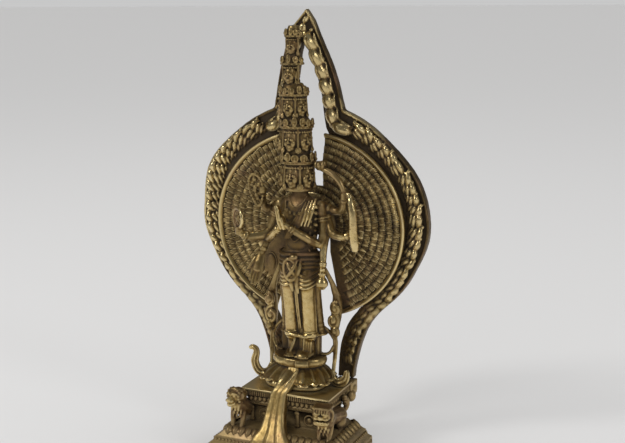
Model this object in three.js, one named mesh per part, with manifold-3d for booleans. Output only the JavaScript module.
// Thousand-armed Avalokiteshvara shrine figure, cast brass, in four pieces:
// a lion throne, the eleven-headed figure on its lotus, the fan of hands and the leaf-shaped halo.
// Millimetres, +Z up, front towards -Y, origin under the middle of the whole.

import * as THREE from 'three';
import { mergeVertices } from 'three/addons/utils/BufferGeometryUtils.js';
import Module from 'manifold-3d';

const wasm = await Module();
wasm.setup();

// Driving dimensions
const GAP = 0.3;
const THRONE_HEIGHT = 32;
const FIGURE_Y = 6.25;
const FAN_RIM_Y = 15.6;
const HALO_FRONT_Y = 19.4;
const HALO_THICKNESS = 3.8;
const HALO_HEIGHT = 161;
const HALO_HALF_WIDTH = 54;
const FAN_RADIUS_X = 44.4;
const FAN_RADIUS_Z = 41.2;
const FAN_CENTRE_Z = 68.7;
const WELD_DISTANCE = 0.3;
const THIN_HEIGHT = 0.01;
const CLEANING_PASSES = 4;
const TAU = Math.PI * 2;

// Materials
const brass = new THREE.MeshStandardMaterial({ color: 0xb0945a, roughness: 0.38, metalness: 1 });
const darkBrass = new THREE.MeshStandardMaterial({ color: 0x7d6640, roughness: 0.5, metalness: 1 });

const v3 = (x, y, z) => new THREE.Vector3(x, y, z);
const lerp = THREE.MathUtils.lerp;
const smooth = THREE.MathUtils.smoothstep;
const vec2 = ([x, z]) => new THREE.Vector2(x, z);

function mirrored(points) {
  return points.map((p) => new THREE.Vector2(-p.x, p.y));
}

// Solids and booleans

// A closed geometry with shared corners merged, empty triangles dropped and faces turned outwards.
function solid(geometry) {
  const bare = geometry.clone();
  bare.deleteAttribute('normal');
  bare.deleteAttribute('uv');
  const merged = mergeVertices(bare, 1e-4);
  const position = merged.getAttribute('position');
  const index = merged.getIndex().array;
  const kept = [];
  let volume = 0;
  const corners = [v3(0, 0, 0), v3(0, 0, 0), v3(0, 0, 0)];
  for (let i = 0; i < index.length; i += 3) {
    const [a, b, c] = [index[i], index[i + 1], index[i + 2]];
    if (a === b || b === c || c === a) continue;
    kept.push(a, b, c);
    [a, b, c].forEach((n, k) => corners[k].fromBufferAttribute(position, n));
    volume += corners[0].dot(corners[1].clone().cross(corners[2]));
  }
  if (volume < 0) {
    for (let i = 0; i < kept.length; i += 3) {
      [kept[i], kept[i + 1]] = [kept[i + 1], kept[i]];
    }
  }
  const mesh = new wasm.Mesh({
    numProp: 3,
    vertProperties: new Float32Array(position.array),
    triVerts: new Uint32Array(kept),
  });
  return new wasm.Manifold(mesh);
}

function fuse(solids) {
  return solids.reduce((total, next) => total.add(next));
}

// Corners closer than the weld distance become one, and the triangles between them go.
function welded(points, triangles) {
  const parent = points.map((_, i) => i);
  const root = (i) => (parent[i] === i ? i : (parent[i] = root(parent[i])));
  triangles.forEach((t) => t.forEach((a, k) => {
    const b = t[(k + 1) % 3];
    if (points[a].distanceTo(points[b]) < WELD_DISTANCE) parent[root(a)] = root(b);
  }));
  const seen = new Map();
  triangles.map((t) => t.map(root)).forEach((t) => {
    if (new Set(t).size < 3) return;
    const key = [...t].sort((a, b) => a - b).join(',');
    if (seen.has(key)) seen.delete(key);
    else seen.set(key, t);
  });
  return [...seen.values()];
}

// A triangle whose corner lies on its own longest side shares that side's neighbour out in two.
function flattened(points, triangles) {
  const owner = new Map();
  triangles.forEach((t, n) => t.forEach((a, k) => owner.set(`${a},${t[(k + 1) % 3]}`, n)));
  const done = new Set();
  triangles.forEach((t, n) => {
    const sides = t.map((a, k) => points[a].distanceTo(points[t[(k + 1) % 3]]));
    const longest = sides.indexOf(Math.max(...sides));
    const [a, b, c] = [t[longest], t[(longest + 1) % 3], t[(longest + 2) % 3]];
    const edge = points[b].clone().sub(points[a]);
    const height = edge.clone().cross(points[c].clone().sub(points[a])).length() / edge.length();
    const m = owner.get(`${b},${a}`);
    if (height > THIN_HEIGHT || done.has(n) || done.has(m)) return;
    const d = triangles[m].find((corner) => corner !== a && corner !== b);
    if (owner.has(`${c},${d}`) || owner.has(`${d},${c}`)) return;
    triangles[n] = [c, a, d];
    triangles[m] = [c, d, b];
    done.add(n);
    done.add(m);
  });
  return triangles;
}

function geometryOf(manifold) {
  const mesh = manifold.getMesh();
  const points = [];
  for (let i = 0; i < mesh.vertProperties.length; i += 3) {
    points.push(v3(...mesh.vertProperties.slice(i, i + 3)));
  }
  let triangles = [];
  for (let i = 0; i < mesh.triVerts.length; i += 3) {
    triangles.push([...mesh.triVerts.slice(i, i + 3)]);
  }
  for (let pass = 0; pass < CLEANING_PASSES; pass += 1) {
    triangles = flattened(points, welded(points, triangles));
  }
  const used = [...new Set(triangles.flat())];
  const place = new Map(used.map((old, n) => [old, n]));
  const geometry = new THREE.BufferGeometry().setFromPoints(used.map((n) => points[n]));
  geometry.setIndex(triangles.flat().map((n) => place.get(n)));
  return geometry;
}

function named(name, manifold, material) {
  const geometry = geometryOf(manifold);
  geometry.computeVertexNormals();
  const mesh = new THREE.Mesh(geometry, material);
  mesh.name = name;
  return mesh;
}

// Basic forms

// A skin through rings of equal count, closed at both ends around the ring's middle.
function loft(rings) {
  const count = rings[0].length;
  const positions = [];
  const index = [];
  rings.forEach((ring) => ring.forEach((p) => positions.push(p.x, p.y, p.z)));
  for (let k = 0; k < rings.length - 1; k += 1) {
    for (let i = 0; i < count; i += 1) {
      const a = k * count + i;
      const b = k * count + ((i + 1) % count);
      index.push(a, b, b + count, a, b + count, a + count);
    }
  }
  [0, rings.length - 1].forEach((k) => {
    const middle = v3(0, 0, 0);
    rings[k].forEach((p) => middle.addScaledVector(p, 1 / count));
    const centre = positions.length / 3;
    positions.push(middle.x, middle.y, middle.z);
    for (let i = 0; i < count; i += 1) {
      const a = k * count + i;
      const b = k * count + ((i + 1) % count);
      if (k === 0) index.push(centre, b, a);
      else index.push(centre, a, b);
    }
  });
  const geometry = new THREE.BufferGeometry();
  geometry.setAttribute('position', new THREE.Float32BufferAttribute(positions, 3));
  geometry.setIndex(index);
  return geometry;
}

// A round-bodied limb along a smooth curve, its radius running through the given radii.
function limb(points, radii, steps = 5, sides = 6, flat = 1) {
  const curve = new THREE.CatmullRomCurve3(points.map((p) => v3(...p)));
  const frames = curve.computeFrenetFrames(steps);
  const rings = [];
  for (let k = 0; k <= steps; k += 1) {
    const t = k / steps;
    const place = (radii.length - 1) * t;
    const low = Math.min(Math.floor(place), radii.length - 2);
    const radius = lerp(radii[low], radii[low + 1], place - low);
    const centre = curve.getPointAt(t);
    const ring = [];
    for (let i = 0; i < sides; i += 1) {
      const turn = (TAU * i) / sides;
      ring.push(centre.clone()
        .addScaledVector(frames.normals[k], radius * Math.cos(turn))
        .addScaledVector(frames.binormals[k], radius * flat * Math.sin(turn)));
    }
    rings.push(ring);
  }
  return solid(loft(rings));
}

function ball([x, y, z], [rx, ry, rz], sides = 8, rows = 6) {
  const geometry = new THREE.SphereGeometry(1, sides, rows);
  geometry.rotateX(Math.PI / 2);
  geometry.scale(rx, ry, rz);
  geometry.translate(x, y, z);
  return solid(geometry);
}

function stud([x, y, z], [rx, ry, rz]) {
  const geometry = new THREE.OctahedronGeometry(1);
  geometry.scale(rx, ry, rz);
  geometry.translate(x, y, z);
  return solid(geometry);
}

function block([x, y, z], [width, depth, height]) {
  const geometry = new THREE.BoxGeometry(width, depth, height);
  geometry.translate(x, y, z);
  return solid(geometry);
}

// A turned body whose corners are each moved by a function of their place.
function turned(profile, segments, reshape) {
  const points = profile.map(([r, z]) => new THREE.Vector2(r, z));
  const geometry = new THREE.LatheGeometry(points, segments);
  geometry.rotateX(Math.PI / 2);
  const position = geometry.getAttribute('position');
  for (let i = 0; i < position.count; i += 1) {
    const x = position.getX(i);
    const y = position.getY(i);
    const z = position.getZ(i);
    position.setXYZ(i, ...reshape(x, y, z));
  }
  return solid(geometry);
}

// Throne: stepped courses, lions at the front corners, cloth over the front

// Courses from the ground up: height, half width, front and back.
const COURSES = [
  [0, 32.4, -23.6, 15.0],
  [4.6, 32.4, -23.6, 15.0],
  [5.4, 31.2, -22.6, 14.2],
  [9.0, 31.2, -22.2, 13.8],
  [10.0, 29.4, -21.2, 13.2],
  [12.4, 28.4, -20.2, 12.8],
  [13.2, 26.8, -18.8, 12.2],
  [15.4, 24.2, -16.0, 11.4],
  [16.4, 21.0, -12.4, 10.8],
  [17.2, 17.4, -8.2, 10.4],
  [24.0, 17.4, -8.2, 10.4],
  [24.6, 18.6, -9.2, 12.4],
  [26.0, 18.8, -9.4, 12.8],
  [26.4, 18.0, -8.8, 12.6],
  [28.6, 19.6, -9.6, 14.6],
  [29.0, 20.0, -9.9, 15.2],
  [31.0, 20.0, -9.9, 15.2],
  [31.2, 20.8, -10.4, 15.8],
  [THRONE_HEIGHT, 20.8, -10.4, 15.8],
];
const HALF_LION_SPAN = 20.4;
const LUG_X = 17;

function courses() {
  const rings = COURSES.map(([z, half, front, back]) => [
    v3(-half, front, z), v3(half, front, z), v3(half, back, z), v3(-half, back, z),
  ]);
  return solid(loft(rings));
}

// Square pillars that divide the recessed waist into panels.
const PILLAR_SIZE = [1.7, 1.7, 8.4];
const PILLAR_Z = 20.6;
const PILLAR_PLACES = [
  [-16.2, -8.5], [-5.4, -8.5], [5.4, -8.5], [16.2, -8.5], [-17.7, 9.2], [17.7, 9.2],
];

function waistPillars() {
  return PILLAR_PLACES.map(([x, y]) => block([x, y, PILLAR_Z], PILLAR_SIZE));
}

// A crouching lion that faces forward, its body along the side of the throne.
// The left one holds its head a little higher than the right one.
const LION_HEAD_Z = { left: 28.6, right: 26.8 };

function lion(side) {
  const x = side * HALF_LION_SPAN;
  const headZ = side < 0 ? LION_HEAD_Z.left : LION_HEAD_Z.right;
  const parts = [
    ball([x, -14.9, headZ], [4.2, 3.8, 4.4], 8, 5),
    ball([x, -12.6, headZ - 1.2], [4.9, 3, 4.6], 8, 4),
    ball([x, -18, headZ - 1], [3, 2, 2], 6, 4),
    stud([x, -17.4, headZ - 3.6], [2.8, 2, 1.4]),
    limb([[x, -14, headZ - 4], [x - side * 1.4, -5.5, 22.6], [x - side, 3.6, 20.6]], [4.6, 3.7, 4.2], 4, 6),
    limb([[x + side, 3.6, 18], [x + side * 1.4, -2.4, 15]], [2.3, 1.4], 2, 4),
    limb([[x - side, 3.8, 20.4], [x + side * 0.6, 8.4, 22.6], [x, 6.8, 28.6]], [1.2, 1.6, 0.9], 4, 4),
  ];
  [-1, 1].forEach((leg) => {
    const legX = x + leg * 2.4;
    parts.push(limb([[legX, -13.6, 24.6], [legX, -15.6, 19], [legX, -16.8, 14.4]], [2.1, 1.5, 2], 2, 4));
    parts.push(stud([x + leg * 3.2, -13.8, headZ + 3], [1.4, 1.3, 1.9]));
  });
  return parts;
}

// Cloth that hangs from under the lotus over the front, in three strips.
// Stations from the slab down: height, left and right edge, front.
const CLOTH = [
  [THRONE_HEIGHT + 0.2, -5.2, 2.6, -10.2],
  [THRONE_HEIGHT - 0.6, -5.4, 2.7, -11.6],
  [27.5, -5.9, 2.9, -13.2],
  [22.5, -6.6, 3.6, -15.4],
  [18.0, -7.4, 5.4, -18.4],
  [14.0, -8.6, 7.8, -21.4],
  [9.5, -10.0, 9.8, -23.1],
  [5.6, -10.6, 10.6, -23.6],
];

const CLOTH_GROOVE = 0.55;
const CLOTH_BACK = -5;

function cloth() {
  const rings = CLOTH.map(([z, left, right, front]) => {
    const at = (share) => lerp(left, right, share);
    return [
      v3(left, CLOTH_BACK, z), v3(left, front + 1.2, z),
      v3(at(0.06), front + 0.2, z), v3(at(0.2), front, z),
      v3(at(0.36), front + CLOTH_GROOVE, z), v3(at(0.52), front - 0.1, z),
      v3(at(0.68), front + CLOTH_GROOVE, z),
      v3(at(0.86), front, z), v3(at(0.95), front + 0.3, z),
      v3(right, front + 1.2, z), v3(right, CLOTH_BACK, z),
    ];
  });
  return solid(loft(rings));
}

// Lugs at the rear corners that carry the feet of the halo.
function haloLug(side) {
  const lug = ball([side * LUG_X, 18.4, 27.2], [5, 5.3, 4.4], 8, 6);
  const top = block([side * (LUG_X - 0.4), 18.2, THRONE_HEIGHT - 3.2], [9.4, 8, 6]);
  const behind = block([side * LUG_X, 29.75, 26], [14, 12, 20]);
  return lug.add(top).subtract(behind);
}

function throne() {
  return fuse([
    courses(), ...waistPillars(), ...lion(-1), ...lion(1), cloth(), haloLug(-1), haloLug(1),
  ]);
}

// Figure: lotus, skirt, body, arms, what the hands hold, scarves and heads.
// Heights are above the slab, places are from the middle of the lotus disc.

const LOTUS = [
  [0, 0.3], [15.6, 0.3], [16.5, 1.6], [14.2, 4.6], [9.2, 8.2],
  [11.7, 9.5], [12.3, 11.2], [11.7, 12.7], [0, 13],
];
const PETALS = 12;
const PETAL_DEPTH = 0.075;
const LOTUS_DEPTH = 0.76;
const LOTUS_FOOT_FORWARD = 2.4;

function lotus() {
  return turned(LOTUS, PETALS * 2, (x, y, z) => {
    const angle = Math.atan2(x, -y);
    const foot = 1 - smooth(z, 1, 9);
    const petal = 1 + PETAL_DEPTH * foot * Math.cos(PETALS * angle);
    return [x * petal, y * LOTUS_DEPTH * petal - LOTUS_FOOT_FORWARD * foot, z];
  });
}

// Strip of cloth that falls from under the disc over the petals to the edge of the slab.
function petalCloth() {
  return limb([[1.2, -7.2, 8.6], [0.9, -11.6, 5.4], [0.4, -14.4, 2.2]], [2.1, 2.2, 2.1], 3, 6, 0.45);
}

// Skirt and trunk stations: height, half width, half depth, pleat depth, side panel spread.
const BODY = [
  [20.6, 9.3, 4.6, 0.4, 1.5],
  [31.0, 9.0, 4.6, 0.36, 1.1],
  [45.4, 9.3, 5.2, 0.14, 0.3],
  [46.4, 9.8, 6.0, 0.04, 0.1],
  [52.0, 9.9, 6.1, 0, 0],
  [57.6, 9.2, 5.7, 0, 0],
  [59.6, 7.7, 4.8, 0, 0],
  [64.0, 7.5, 4.6, 0, 0],
  [72.0, 9.1, 5.2, 0, 0],
  [79.6, 9.7, 4.4, 0, 0],
  [83.2, 4.6, 3.3, 0, 0],
  [88.5, 3.2, 3.1, 0, 0],
];
const BODY_SIDES = 14;
const BODY_X = 0.6;
const HEM_Z = 20.6;
const HEM_X = 1.9;

// The legs lean: their middle is further to the right at the hem than at the hips.
const middleX = (z) => lerp(HEM_X, BODY_X, smooth(z, HEM_Z, 50));

function body() {
  const rings = BODY.map(([z, half, deep, pleat, spread]) => {
    const ring = [];
    const middle = lerp(BODY_X, middleX(z), 0.6);
    for (let i = 0; i < BODY_SIDES; i += 1) {
      const turn = (TAU * i) / BODY_SIDES;
      const across = Math.sin(turn);
      const along = -Math.cos(turn);
      const fold = 1 - pleat * Math.max(0, 1 - Math.abs(across) * 2.6) * (along < 0 ? 1 : 0.4);
      const side = spread * smooth(Math.abs(across), 0.85, 1) * Math.sign(across);
      ring.push(v3(middle + half * across * fold + side, deep * along * fold, z));
    }
    return ring;
  });
  return solid(loft(rings));
}

// Two round legs under the skirt, and the solid block with the feet that carries them.
const LEG_X = 4.1;
function legsAndFeet() {
  const parts = [block([HEM_X + 0.2, 1, 17], [11.6, 6.6, 9])];
  [-1, 1].forEach((side) => {
    const x = HEM_X + side * 3.4;
    parts.push(limb([[x, -0.6, 12.6], [x, -0.4, 17], [x, -0.2, 22]], [3.2, 3, 3.1], 2));
    parts.push(ball([x, -3.6, 13.6], [2.6, 3.6, 1.6], 6, 4));
    const leg = [HEM_Z + 0.3, 34, 48].map((z) => [middleX(z) + side * LEG_X, -3, z]);
    parts.push(limb(leg, [2.9, 3.1, 3.4], 2, 7));
  });
  return parts;
}

// Pleated fall of cloth between the legs, and the knotted belt end above it.
function skirtOrnaments() {
  return [
    limb([[0.6, -5.0, 55], [0.6, -5.5, 46], [1.3, -4, 33], [1.9, -3.6, 21.4]],
      [1.9, 1.3, 1.1, 1.4], 3, 5, 0.7),
    ball([0.6, -5.8, 56.4], [2.6, 1.4, 2.2], 6, 4),
    limb([[9.8, -4.2, 46.2], [4.6, -6.2, 42.6], [0.6, -5.4, 44.8]], [1, 1.1, 0.9], 4, 5),
    limb([[-8.6, -4.2, 47.6], [-3.6, -6.2, 43.6], [0.6, -5.4, 46]], [1, 1.1, 0.9], 4, 5),
  ];
}

function sashAndNecklaces() {
  return [
    limb([[7.4, -3.6, 80], [4.2, -5.5, 73], [0.6, -5.4, 68.5], [-3.6, -4.8, 65]],
      [1.7, 1.6, 1.3, 0.9], 3, 5, 0.7),
    limb([[8.4, -3.8, 76], [8.9, -3.6, 68], [7.4, -3.8, 60]], [1.5, 1.4, 1.1], 2, 5, 0.8),
    limb([[-4.4, -2.4, 83.4], [-2.4, -4.9, 80.4], [0.6, -5.7, 79], [3.6, -4.9, 80.4], [5.4, -2.4, 83.4]],
      [0.8, 0.9, 1, 0.9, 0.8], 4, 4),
  ];
}

// Arms from shoulder to wrist, the viewer's left side first.
const ARMS = [
  {
    path: [[-8.8, 0, 79.4], [-12.4, -0.8, 71], [-13.6, -2, 64.4], [-9.2, -6.6, 67], [-4.4, -9.6, 71.4]],
    radii: [2.6, 2.2, 1.9, 1.6, 1.3],
  },
  {
    path: [[-9.4, 1, 77.4], [-13.2, 1, 69], [-13.6, -1.4, 61], [-14.8, -3.6, 54]],
    radii: [2.2, 1.8, 1.6, 1.1],
  },
  {
    path: [[-9.4, 1, 77.8], [-12.6, 0.4, 70.6], [-14.6, -2.4, 66], [-21, -6.2, 65], [-24, -7.6, 66.6]],
    radii: [2.1, 1.9, 1.8, 1.4, 1.1],
  },
  {
    path: [[-9.2, 1.6, 79.2], [-14.2, 2.2, 76.4], [-17, 0.6, 77.6], [-15.8, -2.6, 84.4]],
    radii: [2.2, 1.8, 1.6, 1.1],
  },
  {
    path: [[9.8, 0, 79.4], [11.9, -0.8, 71], [10.9, -2.6, 63.6], [5.2, -6.8, 67.2], [-1.6, -9.8, 72]],
    radii: [2.6, 2.2, 1.9, 1.7, 1.3],
  },
  {
    path: [[10.4, 1, 77.4], [12.8, 0.6, 70], [12.4, -2, 63], [12.9, -4.6, 53]],
    radii: [2.2, 1.8, 1.6, 1.2],
  },
  {
    path: [[10.4, 1, 77.8], [13.8, 0.2, 72], [16.4, -2.2, 68.6], [22, -4.8, 67.8], [26.4, -5.8, 69.6]],
    radii: [2.1, 1.9, 1.8, 1.5, 1.2],
  },
  {
    path: [[10.2, 1.6, 79.4], [15.4, 2.4, 77.4], [19.4, 0.8, 78.4], [21.6, -2.4, 84]],
    radii: [2.2, 1.8, 1.5, 1.1],
  },
];
const ARM_STEPS = 4;

function arms() {
  return ARMS.map(({ path, radii }) => limb(path, radii, ARM_STEPS, 5));
}

function hands() {
  return [
    limb([[-3.1, -10, 70.6], [-4.1, -10.5, 75], [-5.3, -10.8, 80.6]], [2, 2, 0.7], 3, 6, 0.9),
    limb([[-14.7, -3.6, 54.6], [-15.6, -5.2, 50.6], [-17.4, -7.4, 44.8]], [1.5, 2.3, 0.9], 3, 6, 0.5),
    stud([-13.6, -5.6, 50], [0.8, 0.8, 2.2]),
    ball([-24.2, -7.8, 67.8], [1.9, 1.7, 2], 6, 4),
    ball([-15.8, -3, 85.4], [1.6, 1.4, 2.2], 6, 4),
    ball([12.9, -5, 52], [1.7, 1.6, 2.2], 6, 4),
    ball([27, -6, 70.4], [2, 1.8, 2.2], 6, 4),
    ball([21.9, -3, 84.8], [1.6, 1.5, 2], 6, 4),
  ];
}

function ringOf([x, y, z], radius, tube, around, yaw, stretch = 1) {
  const geometry = new THREE.TorusGeometry(radius, tube, 4, around);
  geometry.scale(1, stretch, 1);
  geometry.rotateX(Math.PI / 2);
  geometry.rotateZ(yaw);
  geometry.translate(x, y, z);
  return solid(geometry);
}

// Wheel, rosary, flask, bow and lotus in the hands.
const WHEEL_CENTRE = [-25.4, -8, 73];
const WHEEL_RADIUS = 4.2;
const WHEEL_TURN = -0.67;
function attributes() {
  return [
    ringOf(WHEEL_CENTRE, WHEEL_RADIUS, 0.9, 10, WHEEL_TURN),
    block(WHEEL_CENTRE, [0.9, 0.9, WHEEL_RADIUS * 2]),
    ringOf([-19.4, -3.6, 85], 3.7, 0.85, 12, 0.1, 1.75),
    turned([[0, 44.6], [1.3, 44.6], [2.3, 46.4], [2, 48.6], [1.1, 49.8], [1.5, 51.2], [0, 52]], 6,
      (x, y, z) => [x + 13, y - 5.6, z]),
    limb([[25.6, -5.4, 84.6], [27, -6.2, 79], [27.4, -6.4, 70], [28.4, -6, 63.4]], [1, 1.6, 1.9, 1], 3, 6),
    limb([[21.9, -3.2, 83], [20.6, -3, 89], [16, -2.2, 93.2], [10.8, -1.6, 95.8]], [1, 1.3, 1.5, 1.2], 5, 5),
    stud([10.6, -1.8, 96.8], [2, 2, 2.6]),
  ];
}

// Tails of the scarves: the viewer's left one ends in a hook, the right one is broken off short.
const LEFT_TAIL = [
  [-14.6, 1.6, 5.4], [-16.4, 0.4, 1.9], [-20.2, -0.2, 3.2],
  [-21.8, -0.4, 7.6], [-20.8, -0.4, 11.8], [-23.6, -0.4, 13.2],
];
const RIGHT_TAIL = [[14.6, 1.6, 5.4], [16.4, 0.8, 1.9], [19.6, 0.8, 2.6], [21.6, 0.8, 6], [21.9, 0.8, 9.8]];

// Scarves: a curled knot beside each knee, two strands, and a tail that sweeps outward on the slab.
function scarf(side) {
  const fall = [
    [8.6, 2.2, 55], [13.4, 4, 46], [15.6, 4.8, 38.6], [15.5, 4.6, 33.6],
    [15, 4.3, 28.6], [14.7, 4.2, 22.4], [14.9, 3.4, 13], [14.9, 1.6, 4.4],
  ].map(([x, y, z]) => [side * x, y, z]);
  return [
    limb(fall, [1.3, 1.5, 2.5, 3, 2.9, 1.4, 0.9, 1.1], 11, 6),
    limb([[side * 9.4, 1.6, 26.6], [side * 12.4, 3, 23.6], [side * 14.4, 4, 20]], [1, 1, 1], 2, 4),
    limb([[side * 14.5, 3.7, 17], [side * 12.2, 2.6, 13.8], [side * 9, 1.6, 13.4]], [0.8, 0.8, 0.9], 3, 4),
    limb(side < 0 ? LEFT_TAIL : RIGHT_TAIL, [1.2, 1.9, 2.1, 1.9, 1.6, 1.3], 7, 5, 0.8),
  ];
}

// Boss between the shoulders that the fan is fixed to.
function backBoss() {
  return block([0.4, 5.9, 72.4], [9, 6.4, 10]);
}

// Tiers of heads: chin height, next tier's height, lean of the axis, reach of the faces, size.
const TIERS = [
  { chin: 87, top: 102, x: -0.4, y: 0, reach: 8.3, size: 1, faces: 3 },
  { chin: 102.6, top: 117, x: -0.6, y: 0, reach: 7.5, size: 0.92, faces: 3 },
  { chin: 117, top: 130.5, x: -1.8, y: -0.4, reach: 6.9, size: 0.86, faces: 3 },
  { chin: 130.4, top: 142.6, x: -2.2, y: -0.8, reach: 4.7, size: 0.84, faces: 1 },
  { chin: 142.6, top: 154, x: -1.7, y: -0.8, reach: 3.7, size: 0.74, faces: 1 },
];
const FACE_SPACING = Math.PI / 3;

// Levels of a tier: height over the chin, core and face share of the reach, nose, earring.
const TIER_LEVELS = [
  [-1.4, 0.6, 0.08, 0, 0],
  [0.1, 0.64, 0.24, 0, 1.3],
  [1.8, 0.64, 0.34, 0, 1.3],
  [4.0, 0.66, 0.34, 1.1, 0.1],
  [6.4, 0.68, 0.3, 0.2, 0.2],
  [7.2, 0.86, 0.2, 0, 0],
  [8.9, 0.9, 0.2, 0, 0],
];
const TIER_ANGLES = [
  ...Array.from({ length: 13 }, (_, k) => ((k - 6) * Math.PI) / 12),
  ...[8, 10, 12, 14, 16].map((k) => (k * Math.PI) / 12),
];

// Share of a face's swell at an angle round the tier: one at its middle line, nought at its ear.
function faceSwell(angle, faces) {
  const half = faces > 1 ? FACE_SPACING / 2 : Math.PI / 2;
  const turn = THREE.MathUtils.clamp(Math.round(angle / FACE_SPACING), -1, 1);
  const nearest = faces > 1 ? FACE_SPACING * turn : 0;
  const off = Math.min(Math.abs(angle - nearest), half);
  return Math.cos((off / half) * (Math.PI / 2));
}

function tier({ chin, top, x, y, reach, size, faces }) {
  const point = (angle, radius, z) => v3(x + radius * Math.sin(angle), y - radius * Math.cos(angle), z);
  const inFront = (angle) => Math.abs(angle) < Math.PI / 2 + 0.1;
  const rings = TIER_LEVELS.map(([height, core, face, nose, earring]) => TIER_ANGLES.map((angle) => {
    const swell = faceSwell(angle, faces);
    const ear = inFront(angle) && swell < 0.1 ? earring * size : 0;
    const tip = swell > 0.99 ? nose * size : 0;
    return point(angle, reach * (core + face * swell) + tip + ear, chin + height * size);
  }));
  const leaf = (share, drop) => TIER_ANGLES.map((angle) => {
    const swell = faceSwell(angle, faces);
    return point(angle, reach * share, top - drop * size * (1 - swell));
  });
  rings.push(leaf(0.96, 2.8), leaf(0.74, 2.8));
  return solid(loft(rings));
}

// The topmost head ends in a small jewel.
function topJewel() {
  const last = TIERS[TIERS.length - 1];
  return ball([last.x, last.y + 0.6, last.top], [1.7, 1.7, 2.4], 6, 4);
}

function figure() {
  return fuse([
    lotus(), petalCloth(), body(), ...legsAndFeet(), ...skirtOrnaments(), ...sashAndNecklaces(),
    ...arms(), ...hands(), ...attributes(), ...scarf(-1), ...scarf(1), backBoss(),
    ...TIERS.map(tier), topJewel(),
  ]);
}

// Fan of hands: a shallow dish in rising steps, parted above and below the bridge behind the chest

const FAN_ROWS = 7;
const FAN_SEGMENTS = 28;
const ROW_PITCH = 4.1;
const ROW_STEP = 0.55;
const FAN_HUB_RADIUS = 11.5;

const FAN_RIM_HEIGHT = FAN_ROWS * ROW_STEP;
const FAN_HUB_BACK = -2;

// The profile runs from the hub outward over the rows and back under the rim: radius, height.
function fanDisc() {
  const profile = [[0, 0]];
  for (let row = 0; row < FAN_ROWS; row += 1) {
    const inner = FAN_HUB_RADIUS + row * ROW_PITCH;
    const rise = row * ROW_STEP;
    profile.push([inner, rise], [inner + ROW_PITCH * 0.82, rise + 0.9]);
  }
  profile.push(
    [FAN_RADIUS_X - 2.6, FAN_RIM_HEIGHT],
    [FAN_RADIUS_X - 1.8, FAN_RIM_HEIGHT + 0.9],
    [FAN_RADIUS_X, FAN_RIM_HEIGHT + 0.6],
    [FAN_RADIUS_X, FAN_RIM_HEIGHT - 1.4],
    [FAN_RADIUS_X - 4, FAN_RIM_HEIGHT - 2],
    [0, FAN_HUB_BACK],
  );
  const squash = FAN_RADIUS_Z / FAN_RADIUS_X;
  return turned(profile, FAN_SEGMENTS, (x, y, z) => [x, FAN_RIM_HEIGHT - z, y * squash]);
}

// The space between the two halves: narrow above, widening below.
// Each slot is given by its right side, half width and height over the fan's centre.
const SLOT_ABOVE = [[5.6, 17], [5.9, 28], [7.6, 37], [8.6, 50]];
const SLOT_BELOW = [[20, -50], [15.6, -38], [8.8, -12], [8.4, -5]];
const SLOT_DEPTH = 30;

function fanSlot(side) {
  const right = side.map(vec2);
  const shape = new THREE.Shape([...right, ...mirrored(right).reverse()]);
  const cutter = new THREE.ExtrudeGeometry(shape, { depth: SLOT_DEPTH, bevelEnabled: false });
  cutter.rotateX(Math.PI / 2);
  cutter.translate(0, SLOT_DEPTH / 2, 0);
  return solid(cutter);
}

function fan() {
  return fanDisc().subtract(fanSlot(SLOT_ABOVE)).subtract(fanSlot(SLOT_BELOW));
}

// Halo: a leaf-shaped band with a pointed top, a raised rim and a row of leaf tufts

const HALO_OUTER_LOW = [
  [20, 0], [21.4, 9.5], [28, 27], [42.7, 42], [52.9, 61.8], [HALO_HALF_WIDTH, 69.6],
  [51.6, 86.9], [44.9, 98.3], [28.4, 112.8], [16.2, 118.8],
];
const HALO_OUTER_TOP = [[16.2, 118.8], [12.8, 133.9], [9, 144.8], [5.4, 153.6], [0, HALO_HEIGHT]];
// The inner edge passes behind the rim of the fan and comes out again below and above it.
const HALO_INNER = [
  [12.4, 0], [13.7, 14.9], [18.1, 26.4], [27.6, 37.6], [36, 50], [39.6, 60], [40.4, 69.6], [37, 86],
  [29, 96.8], [19, 103], [11.5, 106], [8.2, 111], [6.8, 119], [6.2, 126], [4.1, 134.5], [2.1, 144.4],
  [0, 147.5],
];
const HALO_STEPS_LOW = 15;
const HALO_STEPS_TOP = 4;
const HALO_STEPS_INNER = 17;
const BEND_START = 112;
const BEND_REACH = 7;

function outerSide() {
  const low = new THREE.SplineCurve(HALO_OUTER_LOW.map(vec2)).getSpacedPoints(HALO_STEPS_LOW);
  const top = new THREE.SplineCurve(HALO_OUTER_TOP.map(vec2)).getSpacedPoints(HALO_STEPS_TOP);
  return [...low, ...top.slice(1)];
}

// A side outline moved inward by a distance, square to its run.
function inset(points, distance) {
  return points.map((p, i) => {
    const before = points[Math.max(i - 1, 0)];
    const after = points[Math.min(i + 1, points.length - 1)];
    const run = after.clone().sub(before).normalize();
    return new THREE.Vector2(p.x - run.y * distance, p.y + run.x * distance);
  });
}

function haloPlate(outer, inner, front, thickness) {
  const shape = new THREE.Shape([
    ...outer, ...mirrored(outer).reverse().slice(1),
    ...mirrored(inner), ...inner.slice().reverse().slice(1),
  ]);
  const plate = new THREE.ExtrudeGeometry(shape, { depth: thickness, bevelEnabled: false });
  plate.rotateX(Math.PI / 2);
  plate.translate(0, front + thickness, 0);
  return solid(plate);
}

const TUFTS_A_SIDE = 15;
const TUFT_INSET = 4.4;
const TUFT_SIZE = [4.6, 1.7, 2.4];

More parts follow.
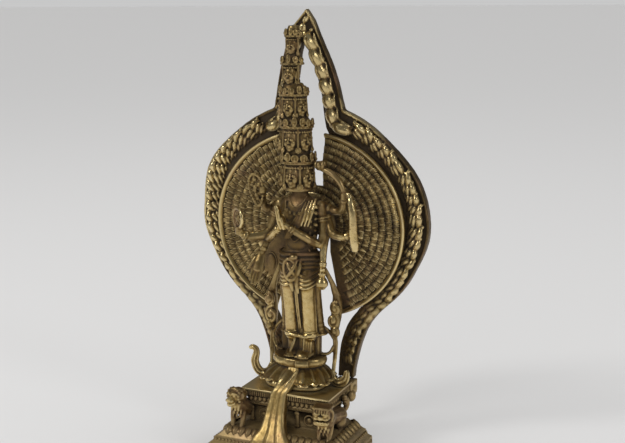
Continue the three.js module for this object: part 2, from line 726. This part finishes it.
// Leaf tufts along the outer rim, smaller towards the foot and the tip.
function haloTufts(outer) {
  const curve = new THREE.SplineCurve(inset(outer, TUFT_INSET));
  const parts = [];
  for (let k = 0; k < TUFTS_A_SIDE; k += 1) {
    const t = lerp(0.2, 0.95, k / (TUFTS_A_SIDE - 1));
    const place = curve.getPointAt(t);
    const run = curve.getTangentAt(t);
    const lean = Math.atan2(run.y, run.x);
    const size = lerp(1, 0.55, smooth(t, 0.7, 1)) * lerp(0.6, 1, smooth(t, 0.18, 0.34));
    [-1, 1].forEach((side) => {
      const tuft = new THREE.OctahedronGeometry(1);
      tuft.scale(...TUFT_SIZE.map((length) => length * size));
      tuft.rotateY(-lean + (k % 2 ? 0.5 : -0.35));
      tuft.translate(place.x, 0, place.y);
      if (side < 0) tuft.scale(-1, 1, 1);
      parts.push(solid(tuft));
    });
  }
  return parts;
}

const RIM_WIDTH = 1.5;
const RIM_PROUD = 0.8;

function halo() {
  const outer = outerSide();
  const inner = new THREE.SplineCurve(HALO_INNER.map(vec2)).getSpacedPoints(HALO_STEPS_INNER);
  const rimInner = inset(outer, RIM_WIDTH);
  rimInner[0].y = 0;
  rimInner[rimInner.length - 1].set(0, HALO_HEIGHT - 2 * RIM_WIDTH);
  inner[0].y = 0;
  inner[inner.length - 1].x = 0;
  const plate = haloPlate(outer, inner, 0, HALO_THICKNESS);
  const rim = haloPlate(outer, rimInner, -RIM_PROUD, RIM_PROUD + 1.2);
  return fuse([plate, rim, ...haloTufts(outer)]);
}

// How far the leaf is out of true sideways at each height: its shoulders lean to the viewer's left.
const HALO_SWAY = [[0, 0], [74, 0], [100, -2], [119, -1.3], [150, -1.5], [HALO_HEIGHT, 0.8]];

function sway(z) {
  const n = Math.max(1, HALO_SWAY.findIndex(([height]) => height >= z));
  const [low, from] = HALO_SWAY[n - 1];
  const [high, to] = HALO_SWAY[n];
  return lerp(from, to, smooth(z, low, high));
}

// The leaf's point bends forward over the topmost head.
function bendHalo(geometry) {
  const position = geometry.getAttribute('position');
  for (let i = 0; i < position.count; i += 1) {
    const z = Math.min(position.getZ(i), HALO_HEIGHT);
    const rise = Math.max(0, z - BEND_START) / (HALO_HEIGHT - BEND_START);
    position.setX(i, position.getX(i) + sway(z));
    position.setY(i, position.getY(i) - BEND_REACH * rise * rise);
  }
}

// The object

const object = new THREE.Group();

const throneMesh = named('lion_throne', throne(), darkBrass);
object.add(throneMesh);

const figureMesh = named('avalokiteshvara_figure', figure(), brass);
figureMesh.position.set(0, FIGURE_Y, THRONE_HEIGHT);
object.add(figureMesh);

const fanMesh = named('fan_of_hands', fan(), brass);
fanMesh.position.set(0, FAN_RIM_Y, THRONE_HEIGHT + FAN_CENTRE_Z);
object.add(fanMesh);

const haloMesh = named('leaf_halo', halo(), darkBrass);
bendHalo(haloMesh.geometry);
haloMesh.geometry.computeVertexNormals();
haloMesh.position.set(0, HALO_FRONT_Y, THRONE_HEIGHT + GAP);
object.add(haloMesh);

export default object;
